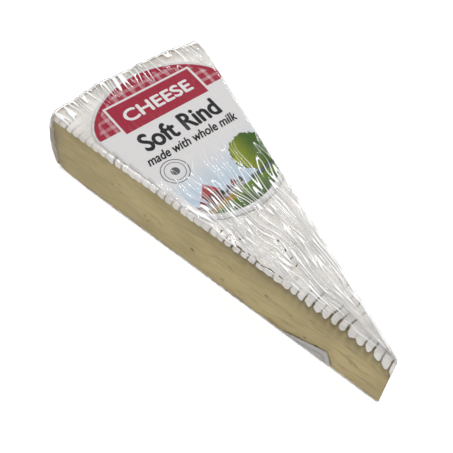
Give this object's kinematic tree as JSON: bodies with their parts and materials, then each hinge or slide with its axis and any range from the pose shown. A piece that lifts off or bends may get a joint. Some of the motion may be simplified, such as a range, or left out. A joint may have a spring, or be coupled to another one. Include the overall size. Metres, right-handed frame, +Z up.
{
  "type": "wrapped cheese wedge",
  "caption": "Flat pointed wedge cut from a soft white-rind cheese wheel, sealed in clear film with a printed label on its upper rind and a plain label underneath.",
  "frame": {"origin": "centre of the underside of the film, where the wedge rests", "axes": "+X along the wedge towards its tip, +Z up through the upper rind, +Y towards the cut face that the front label turns down over"},
  "size_m": [0.1676, 0.075, 0.0349],
  "materials": {
    "cheese": "pale straw paste, smooth and slightly moist where it is cut, under a dry white bloomy rind with shallow ribs",
    "front_label": "coated white label paper, printed with a red check band and a green meadow",
    "base_label": "plain off-white label paper with a thin grey border line",
    "film": "thin clear heat-shrunk film with many fine bright wrinkles"
  },
  "bodies": {
    "root": {"cheese_wedge": "cheese", "front_label": "front_label", "base_label": "base_label", "wrap_film": "film"}
  },
  "joints": []
}
